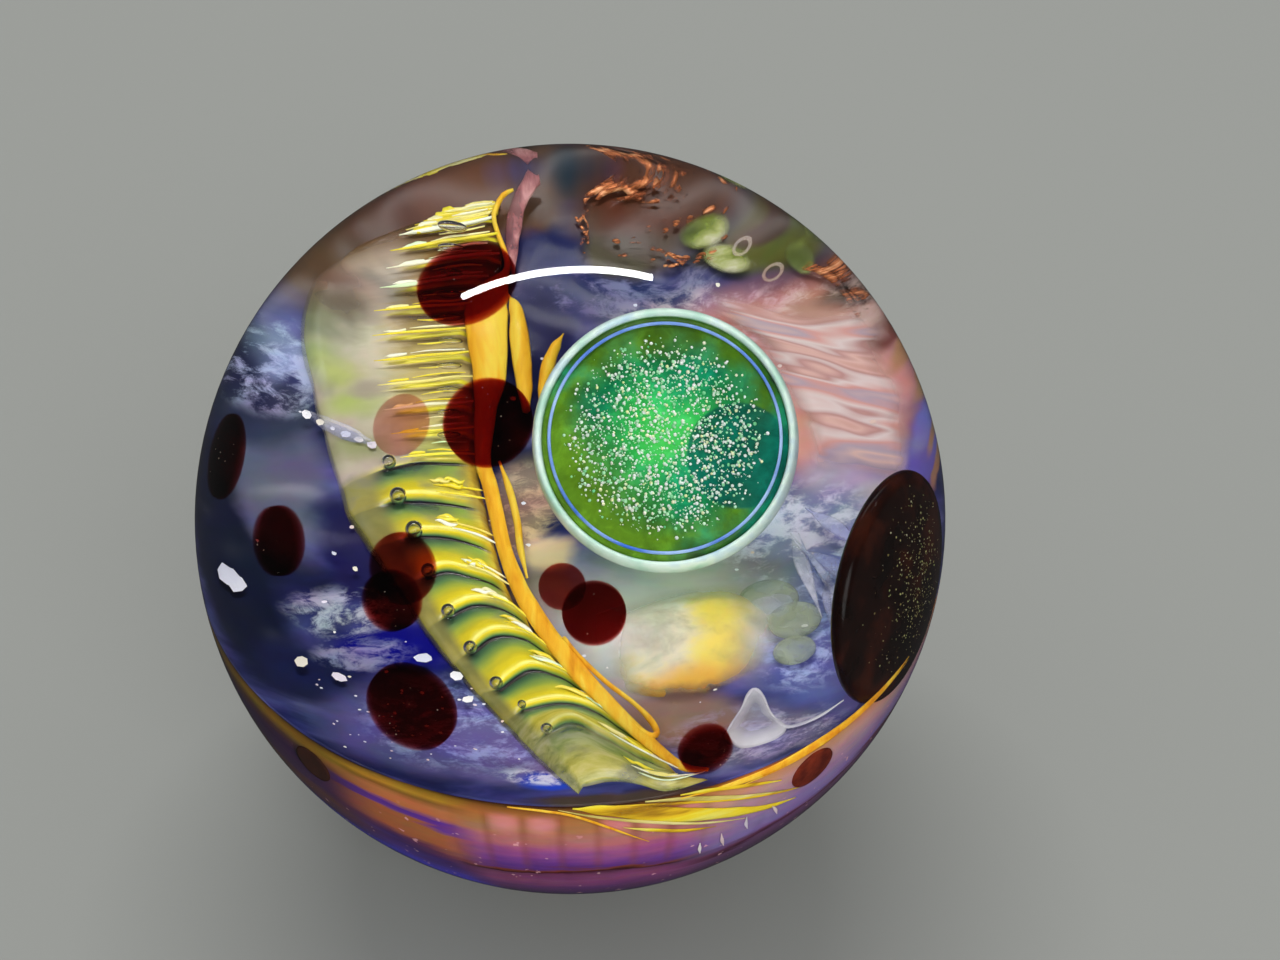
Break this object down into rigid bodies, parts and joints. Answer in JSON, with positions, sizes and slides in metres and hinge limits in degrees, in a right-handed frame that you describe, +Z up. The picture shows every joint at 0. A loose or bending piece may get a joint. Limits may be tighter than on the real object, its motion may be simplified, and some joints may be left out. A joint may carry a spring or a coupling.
{
  "type": "glass marble",
  "caption": "Round art glass marble: a clear dome fused to a violet base over a glitter disc, a ribbed feather and streaks, with brown dots set in the surface.",
  "frame": {"origin": "middle of the ball", "axes": "+Z up through the clear top of the dome, -Y towards the viewer who sees the disc and the feather, +X to that viewer's right"},
  "size_m": [0.042, 0.042, 0.042],
  "materials": {
    "clear_glass": "polished, fire finished",
    "violet_glass": "polished, streaked with amber and pink",
    "brown_glass": "polished, nearly opaque",
    "dark_glitter_glass": "polished, with fine gold glitter",
    "green_glitter_glass": "clear green with fine pale glitter",
    "pale_glass": "milky",
    "lime_glass": "fumed, yellow green",
    "orange_glass": "fumed, orange yellow",
    "pink_glass": "streaky, translucent",
    "yellow_glass": "cloudy, translucent",
    "white_glass": "milky"
  },
  "bodies": {
    "root": {"clear_dome": "clear_glass", "violet_base": "violet_glass", "brown_dots": "brown_glass", "large_brown_dot": "dark_glitter_glass", "green_disc": "green_glitter_glass", "pale_ring": "pale_glass", "feather": "lime_glass", "feather_spine": "orange_glass", "pink_veil": "pink_glass", "yellow_cloud": "yellow_glass", "white_wisp": "white_glass"}
  },
  "joints": []
}
